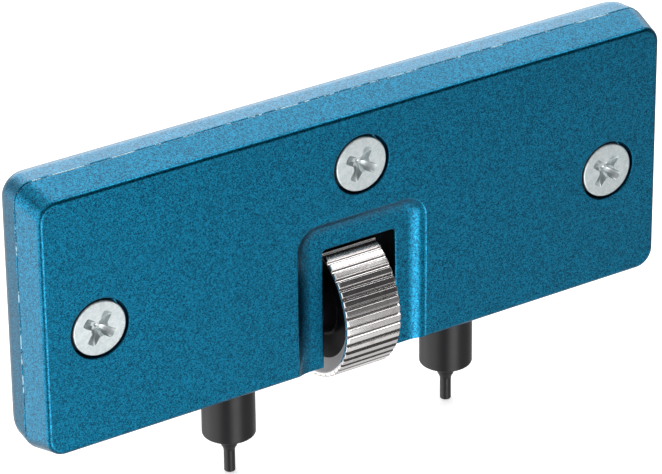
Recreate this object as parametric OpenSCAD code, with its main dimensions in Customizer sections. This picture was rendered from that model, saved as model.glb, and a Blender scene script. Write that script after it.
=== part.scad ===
// Adjustable two-pin case back opener, pocket size.
// Turning the thumbwheel turns a spindle with a right-hand and a left-hand
// thread, which moves the two pin posts towards or away from each other.
// X runs along the body, the front face looks towards -Y, Z points up and the
// pins point down. The origin lies on the spindle's plane, midway between the
// ends of the body, level with the pin tips.

/* [Body] */
// Width of the body at its parting line
body_w = 88; // [80:0.5:96]
// Height of the body at its parting line
body_h = 34.9; // [32:0.1:40]
// Thickness of the body from front face to rear face
body_d = 10.8; // [10.4:0.1:12]
// Thickness of the front cover
front_d = 4.5; // [4.2:0.1:5]
// How far the ends of the front cover lean in towards the front face
draft_x = 0.55; // [0.2:0.05:0.8]
// How far the top and bottom of the front cover lean in towards the front face
draft_z = 0.85; // [0.2:0.05:1]
// Radius of the rounded front edge
front_edge_r = 0.6; // [0.2:0.1:1]
// Radius of the rounded rear edge
rear_edge_r = 4.2; // [2:0.1:4.4]
// Corner radius of the covers at the parting line
corner_r = 2.4; // [1.5:0.1:3]
// Thickness of the outer walls
wall = 2; // [1.6:0.1:2.4]

/* [Window] */
// Half width of the wheel window
window_half_w = 5.1; // [4.8:0.1:5.3]
// Height of the window above the bottom of the body
window_h = 16.7; // [16.6:0.1:17]
// Half width of the shallow recess around the window
recess_half_w = 8.1; // [8:0.1:10]
// Height of the recess above the bottom of the body
recess_h = 19.7; // [19.5:0.1:21.5]
// Depth of the recess
recess_depth = 0.75; // [0.4:0.05:0.8]
// Width of the sloping wall of the recess
recess_slope_w = 2.3; // [1.6:0.1:2.4]

/* [Thumbwheel] */
// Diameter of the thumbwheel over its teeth
wheel_dia = 18.6; // [18:0.1:18.7]
// Width of the knurled rim
wheel_w = 7.6; // [7:0.1:8]
// How far the rim sits to the left of the middle of its hub
wheel_shift = 0.7; // [0.4:0.1:0.8]
// Number of teeth in the straight knurl
teeth = 48; // [40:4:56]
// Depth of the grooves between the teeth
tooth_depth = 0.36; // [0.2:0.02:0.5]

/* [Spindle] */
// Height of the spindle above the bottom of the body
spindle_h = 7.2; // [7:0.1:7.4]
// Distance of the spindle behind the front face
spindle_back = 5.6; // [5.4:0.1:5.8]
// Outside diameter of both threads
thread_dia = 4; // [3.5:0.1:4]
// Thread pitch
thread_pitch = 0.7; // [0.5:0.1:1]

/* [Jaws] */
// Distance of each post from the middle in the drawn position
jaw_x = 15.8; // [12:0.1:32]
// Diameter of the posts
post_dia = 6.6; // [6:0.1:7]
// How far the posts stand out below the body
post_drop = 6.95; // [4:0.05:9]
// Diameter of the pins at the tip of the posts
pin_dia = 1.4; // [1:0.1:2]
// Length of the pins below the posts
pin_len = 5.4; // [5:0.05:8]

/* [Screws] */
// Distance of the two side screws from the middle
side_screw_x = 36; // [35:0.1:37]
// Height of the side screws above the bottom of the body
side_screw_h = 16.1; // [15.8:0.1:18]
// Height of the middle screw above the bottom of the body
middle_screw_h = 27.1; // [26:0.1:28]
// Diameter of the screw heads
head_dia = 7; // [6.5:0.1:7.2]

/* [Hidden] */

$fn = 64;
eps = 0.01;
over = 1;
blue = [0.07, 0.42, 0.58];
nickel = [0.80, 0.80, 0.82];
zinc = [0.78, 0.80, 0.82];
black_steel = [0.10, 0.10, 0.11];
bright_steel = [0.62, 0.62, 0.64];
bronze = [0.70, 0.50, 0.26];
brass = [0.78, 0.62, 0.30];

// Levels in Z
post_end_z = pin_len;
body_z = post_end_z + post_drop;
top_z = body_z + body_h;
spindle_z = body_z + spindle_h;
window_z = body_z + window_h;

// Levels in Y, with the spindle at 0
front_y = -spindle_back;
parting_y = front_y + front_d;
rear_y = front_y + body_d;

// Outline of the covers
half_w = body_w / 2;
half_h = body_h / 2;
mid_z = body_z + half_h;
parting_chamfer = 0.14;
rear_draft = 0.12;
arc_steps = 6;

// Inside of the covers
wheel_r = wheel_dia / 2;
pocket_half_w = 5.5;
pocket_top = spindle_z + wheel_r + 0.9;
rib = 2;
grid_rib = 1.3;
shelf = 1.5;
rib_outer_x = pocket_half_w + rib;
slot_half = post_dia / 2 + 0.05;
block_l = 8;
block_bottom = body_z + 1.7;
block_top = block_bottom + 9.5;
channel_top = block_top + 0.3;
spigot_r = 2.2;
spigot_l = 3;
channel_end = 36.9;
slot_end = 36.3;
slot_start = rib_outer_x + 0.4;
end_bush_x = 38.7;
end_bush_l = 3;
end_bush_r = 3;
journal_r = 1.5;
inner_bush_r = 3.5;
bore_gap = 0.05;

// Screws
screw_r = 2;
head_r = head_dia / 2;
head_gap = 0.35;
head_sink = 0.1;
head_h = 2.2;
head_floor_y = front_y + head_sink + head_h;
screw_end_y = head_floor_y + 6;
tap_end_y = screw_end_y + 0.6;
boss_r = 3.7;
boss_front_r = head_r + head_gap + 1.1;
recess_angle = 57;

// Knurled rim
rim_left = -wheel_shift - wheel_w / 2;
rim_right = rim_left + wheel_w;
rim_chamfer = 0.3;
dish_depth = 1.2;
dish_mouth_r = wheel_r - 1.1;
dish_floor_r = wheel_r - 2.2;
hub_half_l = 4.8;
hub_boss_r = 4;
wheel_pin_r = 0.6;
wheel_pin_x = 3.95;
washer_r = 2.9;

// Place of a cover screw: side is -1 for left, 0 for middle, 1 for right
function screw_x(side) = side * side_screw_x;
function screw_z(side) = body_z + (side == 0 ? middle_screw_h : side_screw_h);
sides = [-1, 0, 1];

// A cylinder along Y, from y0 to y1
module rod_y(x, z, y0, y1, r) {
    translate([x, y0, z])
        rotate([-90, 0, 0])
            cylinder(r = r, h = y1 - y0);
}

// A cylinder along X, from x0 to x1, on the spindle's axis
module rod_x(x0, x1, r) {
    translate([x0, 0, spindle_z])
        rotate([0, 90, 0])
            cylinder(r = r, h = x1 - x0);
}

// A box between two corners
module block(x0, x1, y0, y1, z0, z1) {
    translate([x0, y0, z0])
        cube([x1 - x0, y1 - y0, z1 - z0]);
}

// Four thin discs at the corners of a rounded rectangle, for a hull
module corner_discs(hw, hh, r, y) {
    for (sx = [-1, 1], sz = [-1, 1])
        translate([sx * (hw - r), y, mid_z + sz * (hh - r)])
            rotate([-90, 0, 0])
                cylinder(r = r, h = eps, $fn = 32);
}

// Outer shape of the front cover: drafted sides and a small rounded edge
module front_shape() {
    hull() {
        for (k = [0 : 3]) {
            a = 30 * k;
            inset = front_edge_r * (1 - sin(a));
            corner_discs(half_w - draft_x - inset, half_h - draft_z - inset,
                         corner_r - inset, front_y + front_edge_r * (1 - cos(a)));
        }
        corner_discs(half_w, half_h, corner_r, parting_y - parting_chamfer - eps);
        corner_discs(half_w - parting_chamfer, half_h - parting_chamfer,
                     corner_r, parting_y - eps);
    }
}

// Outer shape of the rear cover: a deep rounded edge runs into the rear face
module rear_shape() {
    hull() {
        corner_discs(half_w - parting_chamfer, half_h - parting_chamfer,
                     corner_r, parting_y);
        corner_discs(half_w, half_h, corner_r, parting_y + parting_chamfer);
        for (k = [0 : arc_steps]) {
            a = 90 * k / arc_steps;
            inset = rear_draft + rear_edge_r * (1 - cos(a));
            corner_discs(half_w - inset, half_h - inset, corner_r + 0.45 * inset,
                         rear_y - eps - rear_edge_r * (1 - sin(a)));
        }
    }
}

// One step of the recess: a shallow block with sloping sides, open below.
// Distances are measured from the middle of the slope, outwards positive.
module recess_step(face_y, dir, out0, depth0, out1, depth1) {
    r = 2.2;
    hull() {
        for (s = [[out0, depth0], [out1, depth1]], sx = [-1, 1], low = [0, 1])
            translate([sx * (recess_half_w + s[0] - r),
                       face_y + dir * s[1],
                       low == 1 ? body_z - 4 : body_z + recess_h + s[0] - r])
                rotate([-90, 0, 0])
                    cylinder(r = r, h = eps, $fn = 32);
    }
}

// The recess around a window: its wall curves over at the top and out below
module recess(face_y, dir) {
    w = recess_slope_w / 2;
    d = recess_depth;
    recess_step(face_y, dir, w + 0.6, -0.5, w * 0.83, d * 0.08);
    recess_step(face_y, dir, w * 0.85, 0, w * 0.35, d * 0.54);
    recess_step(face_y, dir, w * 0.35, d * 0.27, -w * 0.43, d * 0.93);
    recess_step(face_y, dir, -w * 0.43, d * 0.6, -w, d);
}

// A grid of pockets with stiffening ribs between them
module rib_grid(x0, x1, z0, z1, columns, rows, y0, y1) {
    cell_w = (x1 - x0 - (columns - 1) * grid_rib) / columns;
    cell_h = (z1 - z0 - (rows - 1) * grid_rib) / rows;
    for (i = [0 : columns - 1], j = [0 : rows - 1]) {
        x = x0 + i * (cell_w + grid_rib);
        z = z0 + j * (cell_h + grid_rib);
        block(x, x + cell_w, y0, y1, z, z + cell_h);
    }
}

// The hollow upper half of a cover, from y0 to y1
module hollows(y0, y1) {
    for (sx = [-1, 1])
        mirror([sx < 0 ? 1 : 0, 0, 0])
            rib_grid(rib_outer_x + grid_rib, half_w - wall - 0.5,
                     channel_top + shelf, top_z - wall - 0.4, 4, 3, y0, y1);
    rib_grid(-rib_outer_x, rib_outer_x, pocket_top + shelf,
             top_z - wall - 0.4, 2, 2, y0, y1);
}

// The wheel pocket, open below
module wheel_pocket(y0, y1) {
    block(-pocket_half_w, pocket_half_w, y0, y1, body_z - over, pocket_top);
}

// The channels that guide the jaws, and the slots for the posts below them
module jaw_channels() {
    for (sx = [-1, 1])
        mirror([sx < 0 ? 1 : 0, 0, 0]) {
            block(rib_outer_x, channel_end, -slot_half, slot_half,
                  block_bottom - 0.3, channel_top);
            block(slot_start, slot_end, -slot_half, slot_half,
                  body_z - over, block_bottom);
        }
}

// Seats for the spindle and its four bushes
module spindle_seats() {
    rod_x(-end_bush_x - eps, end_bush_x + eps, thread_dia / 2 + 0.4);
    for (sx = [-1, 1])
        mirror([sx < 0 ? 1 : 0, 0, 0]) {
            rod_x(pocket_half_w - eps, rib_outer_x + eps, inner_bush_r);
            rod_x(end_bush_x, end_bush_x + end_bush_l + 0.1, end_bush_r);
        }
}

module front_cover() {
    color(blue)
        difference() {
            union() {
                difference() {
                    front_shape();
                    hollows(front_y + wall, parting_y + over);
                }
                for (side = sides)
                    rod_y(screw_x(side), screw_z(side), front_y + over,
                          parting_y, boss_front_r);
            }
            wheel_pocket(front_y + wall, parting_y + over);
            block(-window_half_w, window_half_w, front_y - over,
                  parting_y, body_z - over, window_z);
            recess(front_y, 1);
            jaw_channels();
            spindle_seats();
            for (side = sides) {
                rod_y(screw_x(side), screw_z(side), front_y - over,
                      head_floor_y, head_r + head_gap);
                rod_y(screw_x(side), screw_z(side), front_y,
                      parting_y + over, screw_r + 0.15);
            }
        }
}

module rear_cover() {
    color(blue)
        difference() {
            union() {
                difference() {
                    rear_shape();
                    hollows(parting_y - over, rear_y - wall);
                }
                for (side = sides)
                    rod_y(screw_x(side), screw_z(side), parting_y,
                          rear_y - over, boss_r);
            }
            wheel_pocket(parting_y - over, rear_y - wall);
            block(-window_half_w, window_half_w, parting_y,
                  rear_y + over, body_z - over, window_z);
            recess(rear_y, -1);
            jaw_channels();
            spindle_seats();
            for (side = sides)
                rod_y(screw_x(side), screw_z(side), parting_y - over,
                      tap_end_y, screw_r + 0.02);
        }
}

// One arm of the cross recess: its ends slope in towards the bottom
module recess_arm() {
    mouth = 2.1;
    floor_half = 1.1;
    depth = 1.5;
    width = 0.95;
    translate([0, 0, -width / 2])
        linear_extrude(width)
            polygon([[-mouth, over / 2], [mouth, over / 2], [mouth, 0],
                     [floor_half, -depth], [-floor_half, -depth], [-mouth, 0]]);
}

module cover_screw(side) {
    color(zinc)
        translate([screw_x(side), head_floor_y, screw_z(side)])
            difference() {
                rotate([90, 0, 0])
                    rotate_extrude()
                        polygon([[0, -6], [screw_r - 0.4, -6], [screw_r, -5.6],
                                 [screw_r, 0], [head_r, 0],
                                 [head_r, head_h - 0.25],
                                 [head_r - 0.25, head_h], [0, head_h]]);
                for (turn = [0, 90])
                    translate([0, -head_h, 0])
                        rotate([0, -recess_angle - turn, 0])
                            rotate([180, 0, 0])
                                recess_arm();
            }
}

module cover_screw_left() {
    cover_screw(-1);
}

module cover_screw_middle() {
    cover_screw(0);
}

module cover_screw_right() {
    cover_screw(1);
}

// Outline of the straight knurl: flat-topped teeth with sloping flanks
function knurl_points() = [
    for (i = [0 : teeth - 1], q = [[-0.27, 0], [0.27, 0], [0.40, 1], [0.60, 1]])
        let (a = 360 * (i + q[0]) / teeth, r = wheel_r - q[1] * tooth_depth)
            [r * cos(a), r * sin(a)]
];

module wheel_rim() {
    w = wheel_w;
    c = rim_chamfer;
    color(nickel)
        translate([rim_left, 0, spindle_z])
            rotate([0, 90, 0])
                difference() {
                    intersection() {
                        linear_extrude(w)
                            polygon(knurl_points());
                        rotate_extrude()
                            polygon([[0, 0], [wheel_r - c, 0],
                                     [wheel_r + eps, c + eps],
                                     [wheel_r + eps, w - c - eps],
                                     [wheel_r - c, w], [0, w]]);
                    }
                    rotate_extrude()
                        polygon([[0, -over], [dish_mouth_r, -over],
                                 [dish_mouth_r, 0],
                                 [dish_floor_r, dish_depth],
                                 [dish_floor_r, w - dish_depth],
                                 [dish_mouth_r, w],
                                 [dish_mouth_r, w + over], [0, w + over]]);
                }
}

module wheel_hub() {
    left = rim_left + dish_depth;
    right = rim_right - dish_depth;
    web = 0.7;
    color(black_steel)
        difference() {
            translate([0, 0, spindle_z])
                rotate([0, 90, 0])
                    rotate_extrude()
                        polygon([[0, -hub_half_l], [hub_boss_r, -hub_half_l],
                                 [hub_boss_r, left + web],
                                 [dish_floor_r, left], [dish_floor_r, right],
                                 [hub_boss_r, right - web],
                                 [hub_boss_r, hub_half_l], [0, hub_half_l]]);
            rod_x(-hub_half_l - over, hub_half_l + over, thread_dia / 2);
            translate([wheel_pin_x, 0, spindle_z])
                cylinder(r = wheel_pin_r, h = 4 * hub_boss_r, center = true);
        }
}

module wheel_pin() {
    color(bright_steel)
        translate([wheel_pin_x, 0, spindle_z])
            cylinder(r = wheel_pin_r, h = 2 * hub_boss_r - 0.4, center = true);
}

module spindle() {
    end_x = end_bush_x + end_bush_l - 0.2;
    shoulder_x = end_bush_x - 0.15;
    thread_start = rib_outer_x + 0.5;
    relief_r = thread_dia / 2 - 0.3;
    color(bright_steel)
        difference() {
            translate([0, 0, spindle_z])
                rotate([0, 90, 0])
                    rotate_extrude()
                        polygon([[0, -end_x], [journal_r - 0.3, -end_x],
                                 [journal_r, -end_x + 0.3],
                                 [journal_r, -shoulder_x],
                                 [thread_dia / 2 - 0.4, -shoulder_x],
                                 [thread_dia / 2, -shoulder_x + 0.4],
                                 [thread_dia / 2, -thread_start - 0.6],
                                 [relief_r, -thread_start - 0.3],
                                 [relief_r, -thread_start],
                                 [thread_dia / 2, -thread_start],
                                 [thread_dia / 2, thread_start],
                                 [relief_r, thread_start],
                                 [relief_r, thread_start + 0.3],
                                 [thread_dia / 2, thread_start + 0.6],
                                 [thread_dia / 2, shoulder_x - 0.4],
                                 [thread_dia / 2 - 0.4, shoulder_x],
                                 [journal_r, shoulder_x],
                                 [journal_r, end_x - 0.3],
                                 [journal_r - 0.3, end_x], [0, end_x]]);
            translate([wheel_pin_x, 0, spindle_z])
                cylinder(r = wheel_pin_r, h = 2 * thread_dia, center = true);
        }
}

// A plain bush on the spindle
module bush(x0, length, outer_r, bore_r) {
    difference() {
        rod_x(x0, x0 + length, outer_r);
        rod_x(x0 - over, x0 + length + over, bore_r);
    }
}

module inner_bush(side) {
    color(bronze)
        mirror([side < 0 ? 1 : 0, 0, 0])
            bush(pocket_half_w, rib, inner_bush_r, thread_dia / 2 + bore_gap);
}

module inner_bush_left() {
    inner_bush(-1);
}

module inner_bush_right() {
    inner_bush(1);
}

module thrust_washer(side) {
    gap = 0.05;
    thickness = pocket_half_w - hub_half_l - 2 * gap;
    color(bright_steel)
        mirror([side < 0 ? 1 : 0, 0, 0])
            bush(hub_half_l + gap, thickness, washer_r,
                 thread_dia / 2 + bore_gap);
}

module thrust_washer_left() {
    thrust_washer(-1);
}

module thrust_washer_right() {
    thrust_washer(1);
}

module end_bush(side) {
    color(bronze)
        mirror([side < 0 ? 1 : 0, 0, 0])
            bush(end_bush_x, end_bush_l, end_bush_r, journal_r + bore_gap);
}

module end_bush_left() {
    end_bush(-1);
}

module end_bush_right() {
    end_bush(1);
}

module jaw_block(side) {
    x = side * jaw_x;
    color(brass)
        difference() {
            block(x - block_l / 2, x + block_l / 2, -post_dia / 2, post_dia / 2,
                  block_bottom, block_top);
            rod_x(x - block_l, x + block_l, thread_dia / 2 + bore_gap);
            translate([x, 0, block_bottom - over])
                cylinder(r = spigot_r, h = spigot_l + over);
        }
}

module left_jaw_block() {
    jaw_block(-1);
}

module right_jaw_block() {
    jaw_block(1);
}

// A turned post: spigot, body, flared neck and pin in one piece
module post(side) {
    r = post_dia / 2;
    pin_r = pin_dia / 2;
    neck_r = 1;
    neck_z = post_end_z - 1.8;
    flare_z = post_end_z - 2.6;
    color(black_steel)
        translate([side * jaw_x, 0, 0])
            rotate_extrude()
                polygon([[0, 0], [pin_r - 0.1, 0], [pin_r, 0.1],
                         [pin_r, flare_z], [neck_r, neck_z],
                         [neck_r + 0.5, post_end_z - 0.2],
                         [neck_r + 0.9, post_end_z],
                         [r - 0.25, post_end_z], [r, post_end_z + 0.25],
                         [r, block_bottom], [spigot_r, block_bottom],
                         [spigot_r, block_bottom + spigot_l],
                         [0, block_bottom + spigot_l]]);
}

module left_post() {
    post(-1);
}

module right_post() {
    post(1);
}

front_cover();
rear_cover();
cover_screw_left();
cover_screw_middle();
cover_screw_right();
wheel_rim();
wheel_hub();
wheel_pin();
spindle();
inner_bush_left();
inner_bush_right();
thrust_washer_left();
thrust_washer_right();
end_bush_left();
end_bush_right();
left_jaw_block();
right_jaw_block();
left_post();
right_post();
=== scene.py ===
"""Looks of the adjustable two-pin case back opener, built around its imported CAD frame."""
import math

import bmesh
import bpy
from mathutils import Matrix, Vector


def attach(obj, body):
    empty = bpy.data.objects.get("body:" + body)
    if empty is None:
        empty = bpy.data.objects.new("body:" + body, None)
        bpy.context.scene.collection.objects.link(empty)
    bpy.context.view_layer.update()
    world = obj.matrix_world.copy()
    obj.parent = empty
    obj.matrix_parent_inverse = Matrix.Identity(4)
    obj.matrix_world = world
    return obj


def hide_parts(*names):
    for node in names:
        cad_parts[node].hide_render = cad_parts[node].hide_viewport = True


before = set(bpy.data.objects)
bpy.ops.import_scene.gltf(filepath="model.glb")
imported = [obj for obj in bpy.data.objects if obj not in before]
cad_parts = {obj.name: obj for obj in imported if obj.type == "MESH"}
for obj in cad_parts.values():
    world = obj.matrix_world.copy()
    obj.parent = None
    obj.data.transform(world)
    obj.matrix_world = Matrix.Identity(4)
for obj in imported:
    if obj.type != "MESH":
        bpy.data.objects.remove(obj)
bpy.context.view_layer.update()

MM = 0.001

# ---------------------------------------------------------------- camera
SENSOR_MM, LENS_MM = 36.0, 227.74
CAMERA_AT = (-0.23920, -0.37498, 0.26298)
CAMERA_RIGHT = (0.8412, -0.5406, -0.0095)
CAMERA_FORWARD = (0.4740, 0.7458, -0.4682)


def make_camera():
    """A long lens that looks along CAMERA_FORWARD, with CAMERA_RIGHT to its right."""
    data = bpy.data.cameras.new("camera")
    data.sensor_width, data.lens = SENSOR_MM, LENS_MM
    data.clip_start, data.clip_end = 0.01, 20
    camera = bpy.data.objects.new("camera", data)
    bpy.context.scene.collection.objects.link(camera)
    forward = Vector(CAMERA_FORWARD).normalized()
    up = Vector(CAMERA_RIGHT).normalized().cross(forward).normalized()
    camera.location = CAMERA_AT
    camera.rotation_mode = "QUATERNION"
    camera.rotation_quaternion = Matrix((forward.cross(up), up, -forward)).transposed().to_quaternion()
    bpy.context.scene.camera = camera


make_camera()

# ---------------------------------------------------------------- sizes, in mm, in the frame's own axes
FRONT_Y, PARTING_Y, REAR_Y = -5.6, -1.1, 5.2
BODY_Z, BODY_H = 12.35, 34.9
HALF_W, HALF_H = 44.0, BODY_H / 2
TOP_Z, MID_Z = BODY_Z + BODY_H, BODY_Z + BODY_H / 2
SPINDLE_Z = 19.55
SIDES = (-1, 0, 1)
SCREW_X, SIDE_SCREW_UP, MIDDLE_SCREW_UP = 36.0, 16.1, 27.1
HEAD_BORE_R, HEAD_FLOOR_Y = 3.85, FRONT_Y + 2.3
THREAD_PITCH, THREAD_R, ROOT_R = 0.7, 2.0, 1.62
POST_X, POST_R, SPIGOT_R = 15.8, 3.3, 2.2
CROSS_PIN_X, CROSS_PIN_R = 3.95, 0.6


def screw_place(side):
    """X and Z of a cover screw's axis."""
    return side * SCREW_X, BODY_Z + (MIDDLE_SCREW_UP if side == 0 else SIDE_SCREW_UP)


def quarter(steps, first=0):
    """Angles of a quarter turn in equal steps, from the given step on."""
    return [math.pi / 2 * i / steps for i in range(first, steps + 1)]


# ---------------------------------------------------------------- materials
class Nodes:
    """A few lines of sugar for building a node tree."""

    def __init__(self, name):
        self.mat = bpy.data.materials.new(name)
        self.mat.use_nodes = True
        self.tree = self.mat.node_tree
        self.tree.nodes.clear()
        self.out = self.add("ShaderNodeOutputMaterial")
        self.bsdf = self.add("ShaderNodeBsdfPrincipled")
        self.link(self.bsdf.outputs[0], self.out.inputs[0])
        self.coord = self.add("ShaderNodeTexCoord").outputs["Object"]

    def add(self, kind, **props):
        node = self.tree.nodes.new(kind)
        for key, value in props.items():
            setattr(node, key, value)
        return node

    def link(self, a, b):
        self.tree.links.new(a, b)

    def put(self, socket, value):
        if isinstance(value, bpy.types.NodeSocket):
            self.link(value, socket)
        else:
            socket.default_value = value

    def math(self, op, a, b=0.0, c=None):
        """One math node; a, b and c are numbers or sockets."""
        node = self.add("ShaderNodeMath", operation=op)
        self.put(node.inputs[0], a)
        self.put(node.inputs[1], b)
        if c is not None:
            self.put(node.inputs[2], c)
        return node.outputs[0]

    def scaled(self, scale, vector=None):
        """Object coordinates times scale, a number or three of them."""
        if not isinstance(scale, (tuple, list)):
            scale = (scale,) * 3
        node = self.add("ShaderNodeMapping")
        self.link(vector or self.coord, node.inputs["Vector"])
        node.inputs["Scale"].default_value = scale
        return node.outputs[0]

    def noise(self, per_mm, detail=2.0, rough=0.5, scale3=None, vector=None):
        """Noise whose features are about 1/per_mm millimetres across."""
        s = 1000.0 * per_mm
        vec = self.scaled(tuple(s * k for k in scale3) if scale3 else s, vector)
        node = self.add("ShaderNodeTexNoise")
        self.link(vec, node.inputs["Vector"])
        node.inputs["Scale"].default_value = 1.0
        node.inputs["Detail"].default_value = detail
        node.inputs["Roughness"].default_value = rough
        return node.outputs[0]

    def flecks(self, per_mm):
        """Two random numbers for each cell of a fine mosaic."""
        node = self.add("ShaderNodeTexVoronoi")
        self.link(self.scaled(1000.0 * per_mm), node.inputs["Vector"])
        node.inputs["Scale"].default_value = 1.0
        split = self.add("ShaderNodeSeparateColor")
        self.link(node.outputs["Color"], split.inputs[0])
        return split.outputs[0], split.outputs[1]

    def ramp(self, fac, low, high, a=0.0, b=1.0):
        """A smooth step from a to b while fac goes from low to high."""
        node = self.add("ShaderNodeMapRange", interpolation_type="SMOOTHSTEP")
        self.put(node.inputs["Value"], fac)
        node.inputs["From Min"].default_value = low
        node.inputs["From Max"].default_value = high
        node.inputs["To Min"].default_value = a
        node.inputs["To Max"].default_value = b
        return node.outputs[0]

    def mix(self, fac, a, b):
        node = self.add("ShaderNodeMix", data_type="RGBA")
        self.put(node.inputs[0], fac)
        for socket, value in ((node.inputs[6], a), (node.inputs[7], b)):
            self.put(socket, (*value, 1.0) if isinstance(value, tuple) else value)
        return node.outputs[2]

    def bump(self, height, distance_mm, strength=1.0, normal=None):
        node = self.add("ShaderNodeBump")
        node.inputs["Strength"].default_value = strength
        node.inputs["Distance"].default_value = distance_mm * MM
        self.put(node.inputs["Height"], height)
        if normal is not None:
            self.link(normal, node.inputs["Normal"])
        return node.outputs[0]

    def edge(self, radius_mm, low, high):
        """1 along sharp edges, fading over the radius."""
        bevel = self.add("ShaderNodeBevel", samples=6)
        bevel.inputs["Radius"].default_value = radius_mm * MM
        geo = self.add("ShaderNodeNewGeometry")
        dot = self.add("ShaderNodeVectorMath", operation="DOT_PRODUCT")
        self.link(bevel.outputs[0], dot.inputs[0])
        self.link(geo.outputs["Normal"], dot.inputs[1])
        return self.ramp(dot.outputs["Value"], high, low)

    def xyz(self):
        split = self.add("ShaderNodeSeparateXYZ")
        self.link(self.coord, split.inputs[0])
        return split.outputs

    def set(self, **sockets):
        """Sets or links the shader's sockets and gives the finished material."""
        for name, value in sockets.items():
            socket = self.bsdf.inputs[name.replace("_", " ")]
            if isinstance(value, tuple) and len(value) == 3:
                value = (*value, 1.0)
            self.put(socket, value)
        return self.mat


def blue_paint():
    """Metallic-fleck paint on die-cast zinc: flecks, faint orange peel, chips at the parting line."""
    n = Nodes("blue_paint")
    fleck, turn = n.flecks(8.0)
    fine, _ = n.flecks(14.0)
    grain = n.math("MULTIPLY_ADD", fine, 0.4, n.math("MULTIPLY", fleck, 0.6))
    grain = n.ramp(grain, 0.10, 0.90)
    cloud = n.noise(0.12, 3.0)
    base = n.mix(grain, (0.0003, 0.028, 0.064), (0.004, 0.205, 0.360))
    base = n.mix(n.ramp(cloud, 0.3, 0.7, 0.0, 0.12), base, (0.001, 0.090, 0.160))
    y = n.xyz()[1]
    off = n.math("ABSOLUTE", n.math("ADD", y, -PARTING_Y * MM))
    near = n.ramp(off, 0.16 * MM, 0.07 * MM)
    dash = n.noise(1.0, 3.0, 0.6, scale3=(0.45, 0.3, 0.6))
    nick = n.noise(6.0, 2.0, 0.7)
    chip = n.math("MULTIPLY", near, n.ramp(n.math("MULTIPLY_ADD", nick, 0.35, dash), 0.70, 0.76))
    worn = n.math("MULTIPLY", n.edge(0.16, 0.80, 0.93), n.ramp(n.noise(2.2, 4.0, 0.65), 0.62, 0.72))
    bare = n.math("MAXIMUM", chip, n.math("MULTIPLY", worn, 0.75))
    base = n.mix(bare, base, (0.42, 0.58, 0.64))
    rough = n.math("MULTIPLY_ADD", n.noise(0.5, 3.0), 0.08, 0.25)
    rough = n.math("MULTIPLY_ADD", turn, 0.10, rough)
    peel = n.noise(2.2, 2.0)
    normal = n.bump(peel, 0.012, 0.35)
    relief = n.math("MULTIPLY_ADD", grain, 0.4, n.math("MULTIPLY", bare, -1.4))
    normal = n.bump(relief, 0.012, 0.5, normal)
    return n.set(Base_Color=base, Metallic=1.0, Roughness=rough, Normal=normal,
                 Coat_Weight=0.28, Coat_Roughness=0.20, Coat_IOR=1.33)


def inside_painted_shade_and_wear():
    """Inside of the covers: a near-black colour that paints the shade in the window and pockets, with
    bare cast metal on worn edges.
    """
    n = Nodes("inside_painted_shade_and_wear")
    cloud = n.noise(0.8, 4.0, 0.6)
    # near-black base and weak specular: painted shade for the window and pockets
    base = n.mix(n.ramp(cloud, 0.35, 0.7), (0.0006, 0.0012, 0.0022), (0.0025, 0.0045, 0.0065))
    bare = n.math("MULTIPLY", n.edge(0.12, 0.80, 0.93), n.ramp(n.noise(1.3, 4.0, 0.6), 0.5, 0.62))
    base = n.mix(n.math("MULTIPLY", bare, 0.8), base, (0.30, 0.33, 0.34))
    rough = n.math("MULTIPLY_ADD", n.noise(2.5, 3.0), 0.2, 0.5)
    return n.set(Base_Color=base, Metallic=0.0, Roughness=rough, Specular_IOR_Level=0.05,
                 Normal=n.bump(n.noise(4.0, 4.0, 0.6), 0.03, 0.5))


def plated_zinc():
    """Bright zinc plate: faint turning rings, crystal mottling, small nicks on the edges."""
    n = Nodes("plated_zinc")
    x, _, z = n.xyz()
    ring_pitch = 0.11 * MM
    radius = n.math("SQRT", n.math("ADD", n.math("MULTIPLY", x, x), n.math("MULTIPLY", z, z)))
    rings = n.math("SINE", n.math("MULTIPLY", radius, 2 * math.pi / ring_pitch))
    mottle = n.noise(3.0, 4.0, 0.7)
    pits = n.ramp(n.noise(5.5, 3.0, 0.6), 0.62, 0.72)
    base = n.mix(n.ramp(mottle, 0.35, 0.68), (0.47, 0.53, 0.545), (0.60, 0.64, 0.645))
    base = n.mix(n.math("MULTIPLY", pits, 0.35), base, (0.34, 0.36, 0.37))
    base = n.mix(n.math("MULTIPLY", n.edge(0.10, 0.80, 0.94), 0.5), base, (0.88, 0.90, 0.90))
    rough = n.math("MULTIPLY_ADD", mottle, 0.22, 0.24)
    height = n.math("MULTIPLY_ADD", rings, 0.25, n.math("MULTIPLY", mottle, 1.5))
    return n.set(Base_Color=base, Metallic=0.86, Roughness=rough,
                 Normal=n.bump(height, 0.010, 0.45))


def nickel_plate():
    """Bright nickel on the knurl: fine axial scratches from rolling, and patches of grime."""
    n = Nodes("nickel_plate")
    streak = n.noise(1.0, 4.0, 0.65, scale3=(0.35, 6.0, 6.0))
    base = n.mix(streak, (0.56, 0.535, 0.530), (0.78, 0.765, 0.760))
    grime = n.math("MULTIPLY", n.ramp(n.noise(0.9, 4.0, 0.6), 0.50, 0.75), 0.35)
    base = n.mix(grime, base, (0.40, 0.35, 0.32))
    base = n.mix(n.math("MULTIPLY", n.edge(0.08, 0.85, 0.96), 0.35), base, (0.90, 0.89, 0.88))
    rough = n.math("MULTIPLY_ADD", streak, 0.16, 0.13)
    return n.set(Base_Color=base, Metallic=1.0, Roughness=rough, Normal=n.bump(streak, 0.006, 0.35))


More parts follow.
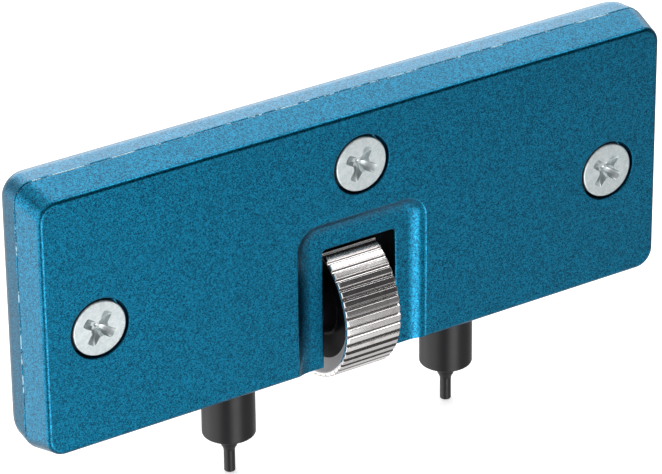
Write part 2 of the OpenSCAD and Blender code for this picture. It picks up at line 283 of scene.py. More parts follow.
def black_oxide(name, along_z, specular):
    """Satin black oxide on turned steel: fine turning lines, lighter worn edges."""
    n = Nodes(name)
    lines = n.noise(1.0, 3.0, 0.6, scale3=(0.3, 0.3, 9.0) if along_z else (9.0, 0.3, 0.3))
    cloud = n.noise(0.7, 4.0, 0.6)
    base = n.mix(cloud, (0.0015, 0.0015, 0.0025), (0.0055, 0.0053, 0.0075))
    worn = n.math("MULTIPLY", n.edge(0.14, 0.82, 0.95), n.ramp(n.noise(2.0, 4.0, 0.6), 0.42, 0.62))
    base = n.mix(n.math("MULTIPLY", worn, 0.55), base, (0.20, 0.20, 0.21))
    rough = n.math("MULTIPLY_ADD", lines, 0.14, n.math("MULTIPLY_ADD", cloud, 0.12, 0.26))
    return n.set(Base_Color=base, Metallic=0.0, Roughness=rough, Specular_IOR_Level=specular,
                 Normal=n.bump(lines, 0.004, 0.5))


def turned_metal(name, low, high, rough0, spread=0.2, metallic=1.0):
    """Plain turned metal with fine lines round X and patches of tarnish."""
    n = Nodes(name)
    lines = n.noise(1.0, 3.0, 0.6, scale3=(9.0, 0.4, 0.4))
    cloud = n.noise(0.5, 4.0, 0.6)
    worn = tuple(min(1.0, 1.25 * v) for v in high)
    base = n.mix(cloud, low, high)
    base = n.mix(n.math("MULTIPLY", n.edge(0.10, 0.82, 0.95), 0.4), base, worn)
    rough = n.math("MULTIPLY_ADD", n.math("MULTIPLY_ADD", lines, 0.5, cloud), spread, rough0)
    return n.set(Base_Color=base, Metallic=metallic, Roughness=rough, Normal=n.bump(lines, 0.005, 0.4))


PAINT = blue_paint()
INSIDE = inside_painted_shade_and_wear()
ZINC = plated_zinc()
NICKEL = nickel_plate()
BLACK_POST = black_oxide("black_oxide_post", True, 0.28)
BLACK_HUB = black_oxide("black_oxide_hub", False, 0.06)
RIM_SIDE = turned_metal("nickel_side", (0.50, 0.49, 0.50), (0.66, 0.65, 0.66), 0.40, 0.12, 0.70)
STEEL = turned_metal("turned_steel", (0.38, 0.38, 0.39), (0.62, 0.61, 0.60), 0.18)
BRONZE = turned_metal("sintered_bronze", (0.34, 0.20, 0.09), (0.56, 0.36, 0.18), 0.30)
BRASS = turned_metal("machined_brass", (0.52, 0.36, 0.13), (0.76, 0.56, 0.25), 0.20)


# ---------------------------------------------------------------- mesh building, in mm
class Solid:
    """Closed shells gathered into one mesh. Points are in mm."""

    def __init__(self):
        self.verts, self.faces = [], []

    def loft(self, rings):
        """Quads between rings of equal length, closed by a face at each end."""
        start, count = len(self.verts), len(rings[0])
        for ring in rings:
            self.verts += ring
        for k in range(len(rings) - 1):
            a, b = start + k * count, start + (k + 1) * count
            for i in range(count):
                j = (i + 1) % count
                self.faces.append((a + i, a + j, b + j, b + i))
        self.faces.append(tuple(range(start + count - 1, start - 1, -1)))
        last = start + (len(rings) - 1) * count
        self.faces.append(tuple(range(last, last + count)))
        return self

    def box(self, x0, x1, y0, y1, z0, z1):
        outline = [(x0, z0), (x1, z0), (x1, z1), (x0, z1)]
        return self.loft([[(x, y, z) for x, z in outline] for y in (y0, y1)])

    def lathe(self, profile, axis, centre, steps=96):
        """Turns (along, radius) points round an axis; the end radii are above 0, with flat ends."""
        rings = []
        for along, r in profile:
            ring = []
            for i in range(steps):
                a = 2 * math.pi * i / steps
                c, s = r * math.cos(a), r * math.sin(a)
                if axis == "X":
                    ring.append((along, centre[0] + c, centre[1] + s))
                elif axis == "Y":
                    ring.append((centre[0] + c, along, centre[1] + s))
                else:
                    ring.append((centre[0] + c, centre[1] + s, along))
            rings.append(ring)
        return self.loft(rings)

    def object(self, name, *materials):
        mesh = bpy.data.meshes.new(name)
        mesh.from_pydata([tuple(v * MM for v in p) for p in self.verts], [], self.faces)
        bm = bmesh.new()
        bm.from_mesh(mesh)
        bmesh.ops.remove_doubles(bm, verts=bm.verts, dist=1e-8)
        bmesh.ops.recalc_face_normals(bm, faces=bm.faces)
        bm.to_mesh(mesh)
        bm.free()
        for material in materials:
            mesh.materials.append(material)
        obj = bpy.data.objects.new(name, mesh)
        bpy.context.scene.collection.objects.link(obj)
        return obj


def apply_modifiers(obj):
    """Replaces the object's mesh by what its modifiers make of it."""
    bpy.context.view_layer.update()
    made = bpy.data.meshes.new_from_object(obj.evaluated_get(bpy.context.evaluated_depsgraph_get()))
    obj.modifiers.clear()
    old, obj.data = obj.data, made
    bpy.data.meshes.remove(old)


def cut(obj, other):
    """Cuts other from obj and removes other."""
    m = obj.modifiers.new("boolean", "BOOLEAN")
    m.operation, m.object, m.solver = "DIFFERENCE", other, "EXACT"
    m.material_mode = "TRANSFER"
    apply_modifiers(obj)
    mesh = other.data
    bpy.data.objects.remove(other)
    bpy.data.meshes.remove(mesh)
    return obj


def finish_surface(obj, sharp_deg=32, bevel_mm=0.0):
    """Edges above sharp_deg get a small bevel if asked; smooth shading keeps large faces flat."""
    bm = bmesh.new()
    bm.from_mesh(obj.data)
    bmesh.ops.remove_doubles(bm, verts=bm.verts, dist=2e-6)
    bmesh.ops.dissolve_degenerate(bm, edges=bm.edges, dist=1e-6)
    bm.to_mesh(obj.data)
    bm.free()
    if bevel_mm:
        m = obj.modifiers.new("edges", "BEVEL")
        m.width, m.segments = bevel_mm * MM, 2
        m.limit_method, m.angle_limit = "ANGLE", math.radians(sharp_deg)
        m.use_clamp_overlap = False
        m.miter_outer = "MITER_ARC"
        apply_modifiers(obj)
    obj.data.shade_smooth()
    obj.data.set_sharp_from_angle(angle=math.radians(sharp_deg))
    m = obj.modifiers.new("normals", "WEIGHTED_NORMAL")
    m.keep_sharp, m.weight = True, 80
    apply_modifiers(obj)
    return obj


def rounded_ring(hw, hh, r, y, steps=12):
    """A rounded rectangle round the middle of the body, at one depth."""
    ring = []
    for k, (sx, sz) in enumerate(((1, 1), (-1, 1), (-1, -1), (1, -1))):
        for i in range(steps + 1):
            a = math.pi / 2 * (k + i / steps)
            ring.append((sx * (hw - r) + r * math.cos(a), y, MID_Z + sz * (hh - r) + r * math.sin(a)))
    return ring


# ---------------------------------------------------------------- the two covers
CORNER_R, CHAMFER = 2.4, 0.14
FRONT_EDGE_R, REAR_EDGE_R, REAR_DRAFT = 0.6, 4.2, 0.12
DRAFT_X, DRAFT_Z = 0.55, 0.85
WALL, RIB, GRID_RIB, SHELF = 2.0, 2.0, 1.3, 1.5
POCKET_HALF, POCKET_TOP = 5.5, 29.75
RIB_X = POCKET_HALF + RIB
BLOCK_BOTTOM, BLOCK_TOP = 14.05, 23.55
CHANNEL_TOP = BLOCK_TOP + 0.3
SLOT_HALF = 3.35
WINDOW_HALF, WINDOW_Z = 5.1, 29.05
RECESS_HALF, RECESS_Z, RECESS_DEPTH = 8.1, BODY_Z + 19.7, 0.75


def front_rings():
    """Outlines of the front cover, from the parting line to the front face."""
    rings = [rounded_ring(HALF_W - CHAMFER, HALF_H - CHAMFER, CORNER_R, PARTING_Y),
             rounded_ring(HALF_W, HALF_H, CORNER_R, PARTING_Y - CHAMFER)]
    steps = 8
    for i in range(steps + 1):
        a = math.pi / 2 * (1 - i / steps)
        inset = FRONT_EDGE_R * (1 - math.sin(a))
        rings.append(rounded_ring(HALF_W - DRAFT_X - inset, HALF_H - DRAFT_Z - inset,
                                  CORNER_R - inset, FRONT_Y + FRONT_EDGE_R * (1 - math.cos(a))))
    return rings


def rear_rings():
    """Outlines of the rear cover, from the parting line round the wide edge to the rear face."""
    rings = [rounded_ring(HALF_W - CHAMFER, HALF_H - CHAMFER, CORNER_R, PARTING_Y),
             rounded_ring(HALF_W, HALF_H, CORNER_R, PARTING_Y + CHAMFER)]
    steps = 20
    for i in range(steps + 1):
        a = math.pi / 2 * i / steps
        inset = REAR_DRAFT + REAR_EDGE_R * (1 - math.cos(a))
        rings.append(rounded_ring(HALF_W - inset, HALF_H - inset, CORNER_R + 0.45 * inset,
                                  REAR_Y - REAR_EDGE_R * (1 - math.sin(a))))
    return rings


def mirrored_boxes(solid, *boxes):
    """Adds each box and its mirror image on the other side of the middle."""
    for x0, x1, y0, y1, z0, z1 in boxes:
        solid.box(x0, x1, y0, y1, z0, z1)
        solid.box(-x1, -x0, y0, y1, z0, z1)
    return solid


def grid_cells(x0, x1, z0, z1, columns, rows):
    """The cells of a grid whose ribs are GRID_RIB wide."""
    w = (x1 - x0 - (columns - 1) * GRID_RIB) / columns
    h = (z1 - z0 - (rows - 1) * GRID_RIB) / rows
    for i in range(columns):
        for j in range(rows):
            x, z = x0 + i * (w + GRID_RIB), z0 + j * (h + GRID_RIB)
            yield x, x + w, z, z + h


def hollows(y0, y1, boss_r, boss_y0, boss_y1):
    """The rib grid's pockets, less the screw bosses that stand in them."""
    cells = Solid()
    for x0, x1, z0, z1 in grid_cells(RIB_X + GRID_RIB, HALF_W - WALL - 0.5, CHANNEL_TOP + SHELF,
                                     TOP_Z - WALL - 0.4, 4, 3):
        mirrored_boxes(cells, (x0, x1, y0, y1, z0, z1))
    for x0, x1, z0, z1 in grid_cells(-RIB_X, RIB_X, POCKET_TOP + SHELF, TOP_Z - WALL - 0.4, 2, 2):
        cells.box(x0, x1, y0, y1, z0, z1)
    bosses = Solid()
    for side in SIDES:
        bosses.lathe([(boss_y0, boss_r), (boss_y1, boss_r)], "Y", screw_place(side), 64)
    return cut(cells.object("cells", INSIDE), bosses.object("bosses", INSIDE))


def arch_ring(half_w, top, r, y, bottom, steps):
    """An outline open below: straight sides, and two rounded corners at the top."""
    ring = [(half_w, y, bottom), (-half_w, y, bottom)]
    for sx, a0 in ((-1, math.pi), (1, math.pi / 2)):
        for i in range(steps + 1):
            a = a0 - math.pi / 2 * i / steps
            ring.append((sx * (half_w - r) + r * math.cos(a), y, top - r + r * math.sin(a)))
    return ring


# Wall of the recess, from above the face to its floor: (distance out from the floor, depth)
RECESS_WALL = [(1.45, -1.5), (1.45, -0.12), (1.13, 0.0), (1.05, 0.020), (0.95, 0.060),
               (0.80, 0.150), (0.60, 0.285), (0.40, 0.405), (0.20, 0.500), (0.0, 0.575),
               (-0.25, 0.645), (-0.50, 0.695), (-0.75, 0.727), (-1.0, 0.745), (-1.15, RECESS_DEPTH)]
RECESS_CORNER_R = 2.2


def recess_cutter(face_y, direction):
    """A shallow block open below, whose wall curves over at the top and out at the bottom."""
    rings = [arch_ring(RECESS_HALF + out, RECESS_Z + out, RECESS_CORNER_R + out * 0.8,
                       face_y + direction * depth, BODY_Z - 4, 16) for out, depth in RECESS_WALL]
    return Solid().loft(rings).object("recess", PAINT)


def window_cutter(face_y, direction, deep_y):
    """The wheel window, with rounded corners and a small rounded lip at the recess floor."""
    floor_y = face_y + direction * RECESS_DEPTH
    lip, corner_r = 0.22, 0.45
    steps = [(lip + 0.3, floor_y - direction * 1.2), (lip + 0.02, floor_y - direction * 0.012)]
    steps += [(lip * (1 - math.sin(a)), floor_y + direction * lip * (1 - math.cos(a)))
              for a in quarter(6)]
    steps.append((0.0, deep_y))
    rings = [arch_ring(WINDOW_HALF + out, WINDOW_Z + out, corner_r + out, y, BODY_Z - 3, 8)
             for out, y in steps]
    return Solid().loft(rings).object("window", PAINT)


def darken_window(cover, face_y, direction):
    """The window's walls behind its lip get the near-black inside material, which paints the shade in
    the window.
    """
    floor_y = face_y + direction * RECESS_DEPTH
    for face in cover.data.polygons:
        c = face.center / MM
        inside = abs(c.x) < WINDOW_HALF + 0.01 and c.z < WINDOW_Z + 0.01
        if inside and direction * (c.y - floor_y) > 0.25 and c.z > BODY_Z + 0.01:
            # painted shade: this window wall takes the near-black inside material
            face.material_index = 1


def spindle_seats():
    """Room for the spindle, its end bushes and the inner bushes."""
    shaft_r, end_bush_r, inner_bush_r = 2.4, 3, 3.5
    left_half = [(-41.8, end_bush_r), (-38.7, end_bush_r), (-38.7, shaft_r), (-RIB_X, shaft_r),
                 (-RIB_X, inner_bush_r), (-5.49, inner_bush_r), (-5.49, shaft_r)]
    profile = left_half + [(-x, r) for x, r in reversed(left_half)]
    return Solid().lathe(profile, "X", (0.0, SPINDLE_Z), 64).object("seats", INSIDE)


def common_cuts(cover, y0, y1):
    """Wheel pocket, jaw channels, post slots and spindle seats, for either cover."""
    channel_end, slot_end = 36.9, 36.3
    room = Solid().box(-POCKET_HALF, POCKET_HALF, y0, y1, BODY_Z - 1, POCKET_TOP)
    mirrored_boxes(room, (RIB_X, channel_end, -SLOT_HALF, SLOT_HALF, BLOCK_BOTTOM - 0.3, CHANNEL_TOP))
    cut(cover, room.object("room", INSIDE))
    slots = mirrored_boxes(Solid(), (RIB_X + 0.4, slot_end, -SLOT_HALF, SLOT_HALF,
                                     BODY_Z - 1, BLOCK_BOTTOM))
    cut(cover, slots.object("slots", INSIDE))
    cut(cover, spindle_seats())


def make_front_cover():
    """Front half: recess, window and counterbores outside, pockets inside."""
    cover = Solid().loft(front_rings()).object("front_cover_shell", PAINT, INSIDE)
    cut(cover, hollows(FRONT_Y + WALL, PARTING_Y + 1, 4.95, FRONT_Y + 1, PARTING_Y + 2))
    common_cuts(cover, FRONT_Y + WALL, PARTING_Y + 1)
    cut(cover, recess_cutter(FRONT_Y, 1))
    cut(cover, window_cutter(FRONT_Y, 1, FRONT_Y + WALL + 0.5))
    darken_window(cover, FRONT_Y, 1)
    lip, hole_r = 0.12, 2.15
    profile = [(FRONT_Y - 1, HEAD_BORE_R + lip + 0.1), (FRONT_Y - 0.01, HEAD_BORE_R + lip)]
    profile += [(FRONT_Y + lip * (1 - math.cos(a)), HEAD_BORE_R + lip * (1 - math.sin(a)))
                for a in quarter(5, 1)]
    profile += [(HEAD_FLOOR_Y, HEAD_BORE_R), (HEAD_FLOOR_Y, hole_r), (PARTING_Y + 1, hole_r)]
    bores = Solid()
    for side in SIDES:
        bores.lathe(profile, "Y", screw_place(side), 96)
    cut(cover, bores.object("bores", PAINT))
    return finish_surface(cover, bevel_mm=0.10)


def make_rear_cover():
    """Rear half: recess and window outside, pockets and tapped bosses inside."""
    cover = Solid().loft(rear_rings()).object("rear_cover_shell", PAINT, INSIDE)
    cut(cover, hollows(PARTING_Y - 1, REAR_Y - WALL, 3.7, PARTING_Y - 2, REAR_Y - 1))
    common_cuts(cover, PARTING_Y - 1, REAR_Y - WALL)
    cut(cover, recess_cutter(REAR_Y, -1))
    cut(cover, window_cutter(REAR_Y, -1, REAR_Y - WALL - 0.5))
    darken_window(cover, REAR_Y, -1)
    hole_r, hole_end_y = 2.02, 3.3
    holes = Solid()
    for side in SIDES:
        holes.lathe([(PARTING_Y - 1, hole_r), (hole_end_y, hole_r)], "Y", screw_place(side), 64)
    cut(cover, holes.object("holes", INSIDE))
    return finish_surface(cover, bevel_mm=0.10)


front = make_front_cover()
rear = make_rear_cover()


# ---------------------------------------------------------------- screws
def thread_rings(x0, x1, hand, steps, per_pitch=10):
    """Rings of (along, radius, angle) whose crest runs true along the helix."""
    total = int(round((x1 - x0) / THREAD_PITCH * per_pitch))
    rings = []
    for k in range(-per_pitch, total + per_pitch + 1):
        ring = []
        for i in range(steps):
            share = i / steps
            along = x0 + (k / per_pitch + hand * share) * THREAD_PITCH
            phase = (k % per_pitch) / per_pitch
            depth = min(1.0, max(0.0, abs(phase - 0.5) * 2 * 1.45 - 0.22))
            run = min(1.0, max(0.0, min(along - x0, x1 - along) / (0.6 * THREAD_PITCH)))
            r = ROOT_R + (THREAD_R - ROOT_R) * (1 - depth) * run
            ring.append((min(max(along, x0), x1), r, 2 * math.pi * share))
        rings.append(ring)
    return rings


HEAD_TOP, HEAD_R, HEAD_EDGE_R = -2.2, 3.5, 0.16
SHANK_END, SHANK_STEPS = 5.6, 32
# One bar of the cross recess, from above the head down: (depth, half length, half width)
CROSS_BAR = [(-0.6, 2.44, 0.70), (0.0, 2.26, 0.60), (0.35, 1.96, 0.52),
             (0.7, 1.54, 0.45), (0.95, 1.02, 0.36), (1.05, 0.62, 0.26)]
# The cone in the middle of the cross: (along, radius)
CROSS_CONE = [(HEAD_TOP - 0.4, 1.30), (HEAD_TOP, 1.12), (HEAD_TOP + 0.5, 0.92),
              (HEAD_TOP + 0.95, 0.55), (HEAD_TOP + 1.12, 0.06)]


def cross_bar(turn, lift):
    """A tapering bar with rounded corners, turned about the screw's axis."""
    rings = []
    for depth, half_l, half_w in CROSS_BAR:
        ring, r = [], half_w * 0.45
        for q, (sx, sz) in enumerate(((1, 1), (-1, 1), (-1, -1), (1, -1))):
            for i in range(5):
                b = math.pi / 2 * (q + i / 4)
                u = sx * (half_l - r) + r * math.cos(b)
                v = sz * (half_w - r) + r * math.sin(b)
                ring.append((u * math.cos(turn) - v * math.sin(turn), HEAD_TOP + depth + lift,
                             u * math.sin(turn) + v * math.cos(turn)))
        rings.append(ring)
    return Solid().loft(rings).object("arm", ZINC)


def screw_shank():
    """Threaded shank with a short tapered end."""
    rings = [[(r * math.cos(t), along, r * math.sin(t)) for along, r, t in ring]
             for ring in thread_rings(0.45, SHANK_END, 1, SHANK_STEPS)]
    turns = [2 * math.pi * i / SHANK_STEPS for i in range(SHANK_STEPS)]
    rings.append([(1.3 * math.cos(t), SHANK_END + 0.4, 1.3 * math.sin(t)) for t in turns])
    return Solid().loft(rings).object("shank", ZINC)


def make_screw(side, turn_deg):
    """Flat cheese head with a cross recess, on a threaded shank. Built round its own axis."""
    edge = HEAD_EDGE_R
    profile = [(HEAD_TOP, 0.02), (HEAD_TOP, HEAD_R - edge - 0.05)]
    profile += [(HEAD_TOP + edge * (1 - math.cos(a)), HEAD_R - edge + edge * math.sin(a))
                for a in quarter(6)]
    profile += [(-0.08, HEAD_R), (0.0, HEAD_R - 0.08), (0.0, 1.92), (0.4, ROOT_R), (0.42, ROOT_R),
                (0.6, 1.6)]
    screw = Solid().lathe(profile, "Y", (0.0, 0.0), 96).object(
        f"screw_{('left', 'middle', 'right')[side + 1]}_finished", ZINC)
    for k in range(2):
        cut(screw, cross_bar(math.radians(turn_deg + 90 * k), 0.0005 * k))
    cut(screw, Solid().lathe(CROSS_CONE, "Y", (0.0, 0.0), 48).object("centre", ZINC))
    shank = screw_shank()
    joined = bmesh.new()
    joined.from_mesh(screw.data)
    joined.from_mesh(shank.data)
    joined.to_mesh(screw.data)
    joined.free()
    bpy.data.objects.remove(shank)
    screw.data.shade_smooth()
    screw.data.set_sharp_from_angle(angle=math.radians(30))
    for face in screw.data.polygons:
        face.use_smooth = abs(face.normal.y) < 0.98
    x, z = screw_place(side)
    screw.location = (x * MM, HEAD_FLOOR_Y * MM, z * MM)
    return screw


screws = [make_screw(side, turn) for side, turn in ((-1, 57.0), (0, 61.0), (1, 52.0))]

# ---------------------------------------------------------------- thumbwheel
WHEEL_R, TEETH, TOOTH_PHASE = 9.29, 48, 0.10
RIM_L, RIM_R = -4.5, 3.1
# One tooth from groove to groove: (share of the pitch, depth below the crest)
TOOTH_PROFILE = [(-0.43, 0.36), (-0.405, 0.345), (-0.285, 0.050), (-0.265, 0.016), (-0.245, 0.002),
                 (-0.225, 0.0), (-0.20, 0.0010), (0.0, 0.0045), (0.20, 0.0010), (0.225, 0.0),
                 (0.245, 0.002), (0.265, 0.016), (0.285, 0.050), (0.405, 0.345), (0.43, 0.36)]


def make_rim():
    """Knurled ring with rounded ends to its teeth; its side faces are duller than the knurl."""
    edge = 0.22
    rounding = [(edge * (1 - math.cos(a)), edge * (1 - math.sin(a))) for a in quarter(5)]
    side = [(1.2, 7.1), (0.62, 8.10), (0.16, 8.52), (0.05, 8.62), (0.0, 8.74)]
    # from the dish floor on the left, out over the teeth, to the dish floor on the right
    rows = [(RIM_L + along, r, None) for along, r in side]
    rows += [(RIM_L + along, None, drop) for along, drop in rounding]
    rows += [(RIM_R - along, None, drop) for along, drop in reversed(rounding)]
    rows += [(RIM_R - along, r, None) for along, r in reversed(side)]
    points = [(tooth + share, depth) for tooth in range(TEETH) for share, depth in TOOTH_PROFILE]
    count = len(points)
    verts, faces = [], []
    for x, fixed, drop in rows:
        for share, depth in points:
            r = fixed if fixed is not None else WHEEL_R - max(drop, depth)
            a = 2 * math.pi * (share + TOOTH_PHASE) / TEETH
            verts.append((x * MM, r * math.sin(a) * MM, (SPINDLE_Z + r * math.cos(a)) * MM))
    for k in range(len(rows)):
        a, b = k * count, ((k + 1) % len(rows)) * count
        for i in range(count):
            j = (i + 1) % count
            faces.append((a + i, a + j, b + j, b + i))
    mesh = bpy.data.meshes.new("wheel_rim_knurled")
    mesh.from_pydata(verts, [], faces)
    bm = bmesh.new()
    bm.from_mesh(mesh)
    bmesh.ops.recalc_face_normals(bm, faces=bm.faces)
    bm.to_mesh(mesh)
    bm.free()
    mesh.materials.append(NICKEL)
    mesh.materials.append(RIM_SIDE)
    for face in mesh.polygons:
        row = face.index // count
        if rows[row][1] is not None and rows[(row + 1) % len(rows)][1] is not None:
            face.material_index = 1
    mesh.shade_smooth()
    mesh.set_sharp_from_angle(angle=math.radians(38))
    obj = bpy.data.objects.new("wheel_rim_knurled", mesh)
    bpy.context.scene.collection.objects.link(obj)
    return obj


rim = make_rim()


def make_hub():
    """Dished web and boss inside the rim, with small fillets, bored for spindle and cross pin."""
    left, right, web = RIM_L + 1.2, RIM_R - 1.2, 0.7
    half, boss_r, fillet = 4.8, 4.0, 0.3
    profile = [(-half, 2.25), (-half, boss_r - fillet)]
    profile += [(-half + fillet * (1 - math.cos(a)), boss_r - fillet + fillet * math.sin(a))
                for a in quarter(5, 1)]
    profile += [(left + web - 0.45, boss_r), (left + web - 0.15, 4.12), (left + web - 0.04, 4.4),
                (left + 0.02, 7.0), (left, 7.1), (right, 7.1), (right - 0.02, 7.0),
                (right - web + 0.04, 4.4), (right - web + 0.15, 4.12), (right - web + 0.45, boss_r)]
    profile += [(half - fillet * (1 - math.cos(a)), boss_r - fillet + fillet * math.sin(a))
                for a in reversed(quarter(5, 1))]
    profile += [(half, boss_r - fillet), (half, 2.25)]
    hub = Solid().lathe(profile, "X", (0.0, SPINDLE_Z), 96).object("wheel_hub_turned", BLACK_HUB)
    bore = [(-6, 2.7), (-half, 2.25), (-4.55, 2.0), (4.55, 2.0), (half, 2.25), (6, 2.7)]
    cut(hub, Solid().lathe(bore, "X", (0.0, SPINDLE_Z), 64).object("bore", BLACK_HUB))
    pin_bore = [(SPINDLE_Z - 9, CROSS_PIN_R), (SPINDLE_Z + 9, CROSS_PIN_R)]
    cut(hub, Solid().lathe(pin_bore, "Z", (CROSS_PIN_X, 0.0), 32).object("pin_bore", BLACK_HUB))
    return finish_surface(hub, 34)


hub = make_hub()


def make_cross_pin():
    """Plain pin with broken ends, across the hub and the spindle."""
    ends = ((3.8, 0.42), (3.74, 0.54), (3.6, CROSS_PIN_R))
    profile = [(SPINDLE_Z - up, r) for up, r in ends]
    profile += [(SPINDLE_Z + up, r) for up, r in reversed(ends)]
    pin = Solid().lathe(profile, "Z", (CROSS_PIN_X, 0.0), 32)
    return finish_surface(pin.object("wheel_pin_turned", STEEL), 50)


pin = make_cross_pin()


# ---------------------------------------------------------------- spindle with its two threads
def make_spindle():
    """One shaft: right-hand thread on the left, left-hand on the right, plain journals and middle."""
    steps, thread_start, thread_end, journal_r = 40, 8.0, 38.5, 1.5
    turns = [2 * math.pi * i / steps for i in range(steps)]

    def turned(points):
        return [[(x, r * math.cos(t), SPINDLE_Z + r * math.sin(t)) for t in turns] for x, r in points]

    def threaded(x0, x1, hand):
        return [[(x, r * math.cos(t), SPINDLE_Z + r * math.sin(t)) for x, r, t in ring]
                for ring in thread_rings(x0, x1, hand, steps)]

    journal = [(41.5, 0.3), (41.5, 1.2), (41.2, journal_r), (38.55, journal_r), (38.55, 1.6)]
    middle = [(7.95, ROOT_R), (7.7, ROOT_R), (7.6, THREAD_R)]
    rings = turned([(-x, r) for x, r in journal])
    rings += threaded(-thread_end, -thread_start, 1)
    rings += turned([(-x, r) for x, r in middle] + middle[::-1])
    rings += threaded(thread_start, thread_end, -1)
    rings += turned(journal[::-1])
    return finish_surface(Solid().loft(rings).object("spindle_threaded", STEEL), 48)


spindle = make_spindle()


# ---------------------------------------------------------------- posts and jaw blocks
def make_post(side, name):
    """Turned post: pin with a rounded tip, flared neck, body with a broken edge, spigot."""
    tip_r, edge_r, foot = 0.16, 0.22, 5.40
    profile = [(0.0, 0.30), (0.0, 0.54)]
    profile += [(tip_r * (1 - math.cos(a)), 0.54 + tip_r * math.sin(a)) for a in quarter(4, 1)]
    profile += [(2.80, 0.70), (3.05, 0.725), (3.30, 0.80), (3.60, 0.98), (3.85, 1.07), (4.40, 1.24),
                (4.90, 1.40), (5.20, 1.55), (5.33, 1.74), (5.39, 1.90), (foot, 2.02), (foot, 3.06)]
    profile += [(foot + edge_r * (1 - math.cos(a)), 3.08 + edge_r * math.sin(a)) for a in quarter(5, 1)]
    profile += [(13.95, POST_R), (BLOCK_BOTTOM, 3.20), (BLOCK_BOTTOM, SPIGOT_R), (16.95, SPIGOT_R),
                (17.05, 2.1)]
    solid = Solid().lathe(profile, "Z", (side * POST_X, 0.0), 96)
    return finish_surface(solid.object(name, BLACK_POST), 40)


posts = [make_post(-1, "left_post_turned"), make_post(1, "right_post_turned")]


def make_block(side, name):
    """Sliding nut: a broken-edged block with a countersunk, threaded bore and the post's socket."""
    x, half_x, half_y = side * POST_X, 4, 3.3
    block = Solid().box(x - half_x, x + half_x, -half_y, half_y, BLOCK_BOTTOM, BLOCK_TOP)
    block = block.object(name, BRASS)
    bore = [(x - 5, 2.9), (x - half_x, 2.4), (x - 3.65, 2.05), (x + 3.65, 2.05), (x + half_x, 2.4),
            (x + 5, 2.9)]
    cut(block, Solid().lathe(bore, "X", (0.0, SPINDLE_Z), 64).object("bore", BRASS))
    socket = [(BLOCK_BOTTOM - 1, SPIGOT_R), (BLOCK_BOTTOM + 3, SPIGOT_R)]
    cut(block, Solid().lathe(socket, "Z", (x, 0.0), 64).object("socket", BRASS))
    return finish_surface(block, 40, 0.18)


blocks = [make_block(-1, "left_jaw_block_milled"), make_block(1, "right_jaw_block_milled")]

# ---------------------------------------------------------------- what rides where
PIECES = [
    (front, "case", "front_cover", "blue_paint"),
    (rear, "case", "rear_cover", "blue_paint"),
    (screws[0], "case", "cover_screw_left", "zinc"),
    (screws[1], "case", "cover_screw_middle", "zinc"),
    (screws[2], "case", "cover_screw_right", "zinc"),
    (rim, "thumbwheel", "wheel_rim", "nickel"),
    (hub, "thumbwheel", "wheel_hub", "black_oxide"),
    (pin, "thumbwheel", "wheel_pin", "bright_steel"),
    (spindle, "thumbwheel", "spindle", "bright_steel"),
    (posts[0], "left_jaw", "left_post", "black_oxide"),
    (posts[1], "right_jaw", "right_post", "black_oxide"),
    (blocks[0], "left_jaw", "left_jaw_block", "brass"),
    (blocks[1], "right_jaw", "right_jaw_block", "brass"),
]
for piece, body, node, slot in PIECES:
    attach(piece, body)
    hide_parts(node)

# The bushes and washers keep the shapes of the CAD
for node, material, slot in (("inner_bush_left", BRONZE, "bronze"),
                             ("inner_bush_right", BRONZE, "bronze"),
                             ("end_bush_left", BRONZE, "bronze"),
                             ("end_bush_right", BRONZE, "bronze"),
                             ("thrust_washer_left", STEEL, "bright_steel"),
                             ("thrust_washer_right", STEEL, "bright_steel")):
    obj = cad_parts[node]
    obj.data.materials.clear()
    obj.data.materials.append(material)

# ---------------------------------------------------------------- floor, light and backdrop
scene = bpy.context.scene
FLOOR_HALF, FLOOR_THICK = 1500, 8
BASE_LIGHT, BACKDROP = 0.26, 0.93

floor = Solid().box(-FLOOR_HALF, FLOOR_HALF, -FLOOR_HALF, FLOOR_HALF, -FLOOR_THICK, 0).object("floor")
floor.data.materials.append(Nodes("pale_floor").set(
    Base_Color=(0.86, 0.86, 0.86), Roughness=0.9, Specular_IOR_Level=0.1,
    Emission_Color=(1.0, 1.0, 1.0), Emission_Strength=0.55))
# The floor is only a backdrop: the object is lit by the boxes below, also from underneath
floor.visible_diffuse = floor.visible_glossy = floor.visible_shadow = False

# Soft boxes round the object, added to BASE_LIGHT: direction, cosine of the angle to the box's
# outer and inner edge, strength. A box with a negative strength is a dark flag.
BOXES = [
    ((0.0, -0.883, -0.469), 0.925, 0.985, 5.0),
    ((0.420, -0.727, -0.545), 0.80, 0.97, 0.36),
    ((0.20, 0.10, -0.97), 0.50, 0.74, 0.45),
    ((-0.93, 0.28, -0.22), 0.60, 0.90, 2.2),
    ((-0.85, -0.48, -0.20), 0.75, 0.95, 0.55),
    ((0.25, 0.96, 0.05), 0.20, 0.85, 0.50),
    ((0.42, 0.78, 0.46), 0.78, 0.93, 1.75),
    ((-0.15, 0.05, 0.98), 0.60, 0.88, 0.9),
    ((0.467, -0.777, 0.42), 0.74, 0.95, -0.20),
]


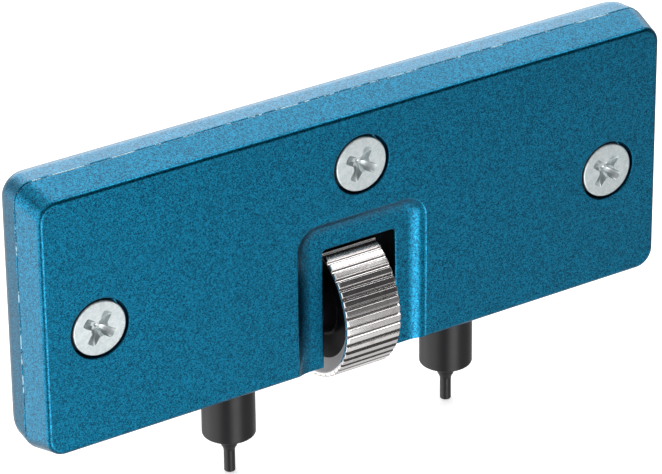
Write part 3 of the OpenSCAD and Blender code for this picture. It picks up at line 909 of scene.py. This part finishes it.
def area(name, towards, distance, side, radiance):
    """A square soft box that faces the object from the given direction."""
    data = bpy.data.lights.new(name, "AREA")
    data.shape, data.size = "SQUARE", side
    data.energy = radiance * math.pi * side * side
    light = bpy.data.objects.new(name, data)
    scene.collection.objects.link(light)
    towards = Vector(towards).normalized()
    light.location = Vector((0.0, 0.0, MID_Z * MM)) + distance * towards
    light.rotation_mode = "QUATERNION"
    light.rotation_quaternion = towards.to_track_quat("Z", "Y")


area("ceiling_box", (0.45, -0.14, 0.88), 0.65, 0.34, 3.0)


def make_world():
    """Soft boxes for the object's light and reflections, a plain pale backdrop for the camera."""
    world = bpy.data.worlds.new("studio")
    scene.world = world
    world.use_nodes = True
    tree = world.node_tree
    tree.nodes.clear()
    link = tree.links.new

    def add(kind, **props):
        node = tree.nodes.new(kind)
        for key, value in props.items():
            setattr(node, key, value)
        return node

    out = add("ShaderNodeOutputWorld")
    direction = add("ShaderNodeTexCoord").outputs["Generated"]
    total = None
    for centre, outer, inner, strength in BOXES:
        dot = add("ShaderNodeVectorMath", operation="DOT_PRODUCT")
        link(direction, dot.inputs[0])
        dot.inputs[1].default_value = Vector(centre).normalized()
        fade = add("ShaderNodeMapRange", interpolation_type="SMOOTHSTEP")
        link(dot.outputs["Value"], fade.inputs["Value"])
        fade.inputs["From Min"].default_value = outer
        fade.inputs["From Max"].default_value = inner
        fade.inputs["To Max"].default_value = strength
        plus = add("ShaderNodeMath", operation="ADD")
        link(fade.outputs[0], plus.inputs[0])
        if total is None:
            plus.inputs[1].default_value = BASE_LIGHT
        else:
            link(total, plus.inputs[1])
        total = plus.outputs[0]
    boxes = add("ShaderNodeBackground")
    link(total, boxes.inputs["Strength"])
    boxes.inputs["Color"].default_value = (1.0, 1.0, 1.0, 1.0)
    backdrop = add("ShaderNodeBackground")
    backdrop.inputs["Color"].default_value = (BACKDROP, BACKDROP, BACKDROP, 1.0)
    pick = add("ShaderNodeMixShader")
    link(add("ShaderNodeLightPath").outputs["Is Camera Ray"], pick.inputs[0])
    link(boxes.outputs[0], pick.inputs[1])
    link(backdrop.outputs[0], pick.inputs[2])
    link(pick.outputs[0], out.inputs[0])


make_world()

scene.view_settings.view_transform = "Standard"
scene.view_settings.look = "None"
scene.view_settings.exposure = 0.0
scene.view_settings.gamma = 1.0
